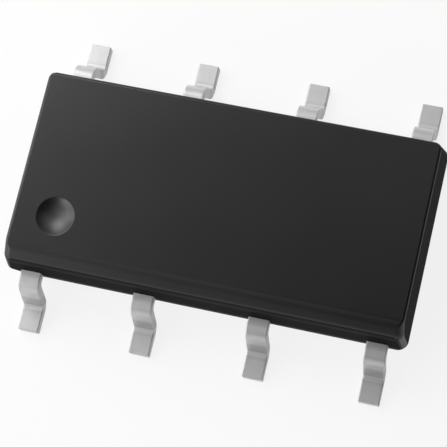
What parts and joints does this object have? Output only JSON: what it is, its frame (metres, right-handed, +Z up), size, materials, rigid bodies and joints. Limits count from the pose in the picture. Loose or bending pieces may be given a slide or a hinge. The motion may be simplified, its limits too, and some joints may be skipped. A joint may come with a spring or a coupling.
{
  "type": "soic chip",
  "caption": "Small-outline surface-mount chip: black moulded body with a lead 1 dimple and gull-wing leads along both long sides.",
  "frame": {"origin": "middle of the chip's outline, at the level of the undersides of its feet", "axes": "+X along the lead rows from lead 1 towards lead 4, +Y across the body from leads 1 to 4 towards leads 5 to 8, +Z up from the board"},
  "size_m": [0.0088, 0.0066, 0.0018],
  "materials": {
    "mould_compound": "fine matte, as moulded",
    "tinned_lead": "matte tin plating on copper alloy sheet",
    "copper_frame": "bare copper alloy sheet",
    "silver_epoxy": "cured silver-filled epoxy",
    "silicon": "polished silicon with an oxide sheen",
    "gold_wire": "drawn gold wire"
  },
  "bodies": {
    "root": {"package_body": "mould_compound", "lead_1": "tinned_lead", "lead_2": "tinned_lead", "lead_3": "tinned_lead", "lead_4": "tinned_lead", "lead_5": "tinned_lead", "lead_6": "tinned_lead", "lead_7": "tinned_lead", "lead_8": "tinned_lead", "die_paddle": "copper_frame", "die_attach": "silver_epoxy", "die": "silicon", "bond_wire_1": "gold_wire", "bond_wire_2": "gold_wire", "bond_wire_3": "gold_wire", "bond_wire_4": "gold_wire", "bond_wire_5": "gold_wire", "bond_wire_6": "gold_wire", "bond_wire_7": "gold_wire", "bond_wire_8": "gold_wire"}
  },
  "joints": []
}
